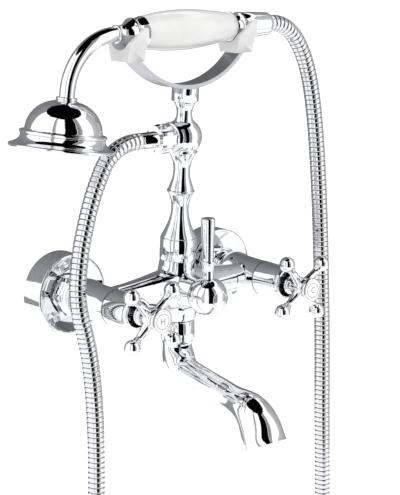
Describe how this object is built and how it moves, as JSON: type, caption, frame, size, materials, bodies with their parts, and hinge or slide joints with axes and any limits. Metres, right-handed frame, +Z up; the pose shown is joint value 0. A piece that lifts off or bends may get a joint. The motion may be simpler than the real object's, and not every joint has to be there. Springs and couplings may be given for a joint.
{
  "type": "wall mounted bath faucet",
  "caption": "Traditional wall mounted bath mixer: cross handles, lever diverter, swivel spout, riser with cradle, ceramic-grip hand shower and hanging metal hose.",
  "frame": {"origin": "on the finished wall, midway between the two supply inlets", "axes": "+X along the wall to the right seen from the room, +Y into the wall, +Z up"},
  "size_m": [0.314, 0.1873, 0.7232],
  "materials": {
    "polished_chrome": "polished chrome plate on brass",
    "satin_chrome": "satin chrome plate",
    "raw_brass": "turned, unplated",
    "seal_rubber": "moulded EPDM",
    "fibre_seal": "vulcanised fibre",
    "alumina": "lapped ceramic",
    "zinc_screw": "zinc plated",
    "index_white": "white enamel",
    "hook_white": "white moulded lining",
    "glazed_ceramic": "white glaze",
    "valve_plastic": "moulded acetal",
    "hose_steel": "chrome plated double interlock hose"
  },
  "bodies": {
    "root": {"body": "polished_chrome", "cold_bonnet": "polished_chrome", "cold_escutcheon": "polished_chrome", "cold_fixed_disc": "alumina", "cold_headwork": "raw_brass", "cold_s_union": "raw_brass", "cold_union_nut": "polished_chrome", "cradle_band": "satin_chrome", "cradle_nut": "polished_chrome", "diverter_cartridge": "raw_brass", "headwork_seals": "fibre_seal", "hose_lower": "hose_steel", "hot_bonnet": "polished_chrome", "hot_escutcheon": "polished_chrome", "hot_fixed_disc": "alumina", "hot_headwork": "raw_brass", "hot_s_union": "raw_brass", "hot_union_nut": "polished_chrome", "left_hook": "hook_white", "lower_hose_ferrule": "polished_chrome", "lower_hose_nut": "polished_chrome", "lower_hose_washer": "seal_rubber", "right_hook": "hook_white", "riser_collar": "polished_chrome", "riser_column": "polished_chrome", "riser_seal": "fibre_seal", "seat_seals": "seal_rubber", "spout_nut": "polished_chrome", "union_washers": "seal_rubber"},
    "hot_handle": {"hot_spindle": "raw_brass", "hot_turning_disc": "alumina", "hot_handle": "polished_chrome", "hot_handle_screw": "zinc_screw", "hot_index_cap": "index_white"},
    "cold_handle": {"cold_spindle": "raw_brass", "cold_turning_disc": "alumina", "cold_handle": "polished_chrome", "cold_handle_screw": "zinc_screw", "cold_index_cap": "index_white"},
    "diverter": {"diverter_spindle": "raw_brass", "diverter_knob": "polished_chrome", "diverter_cap": "polished_chrome", "diverter_lever": "polished_chrome"},
    "spout": {"spout": "polished_chrome", "spout_oring": "seal_rubber", "spout_retaining_ring": "zinc_screw", "aerator": "valve_plastic"},
    "handset": {"neck_tube": "polished_chrome", "head_shell": "polished_chrome", "face_gasket": "seal_rubber", "spray_plate": "polished_chrome", "front_ferrule": "polished_chrome", "grip": "glazed_ceramic", "core_tube": "raw_brass", "rear_ferrule": "polished_chrome", "check_valve": "valve_plastic", "cone_nut": "polished_chrome", "upper_hose_washer": "seal_rubber", "hose_upper": "hose_steel"}
  },
  "joints": [
    {"name": "hot_turn", "type": "hinge", "parent": "root", "child": "hot_handle", "pos_m": [-0.075, -0.118, 0.008], "axis": [0, -1, 0], "range_deg": [0, 90]},
    {"name": "cold_turn", "type": "hinge", "parent": "root", "child": "cold_handle", "pos_m": [0.075, -0.118, 0.008], "axis": [0, 1, 0], "range_deg": [0, 90]},
    {"name": "diverter_turn", "type": "hinge", "parent": "root", "child": "diverter", "pos_m": [0, -0.0926, 0.008], "axis": [0, -1, 0], "range_deg": [0, 90]},
    {"name": "spout_swing", "type": "hinge", "parent": "root", "child": "spout", "pos_m": [0, -0.0563, -0.03], "axis": [0, 0, 1], "range_deg": [-60, 60]},
    {"name": "handset_lift", "type": "slide", "parent": "root", "child": "handset", "axis": [0, 0, 1], "range_m": [0, 0.06]}
  ]
}
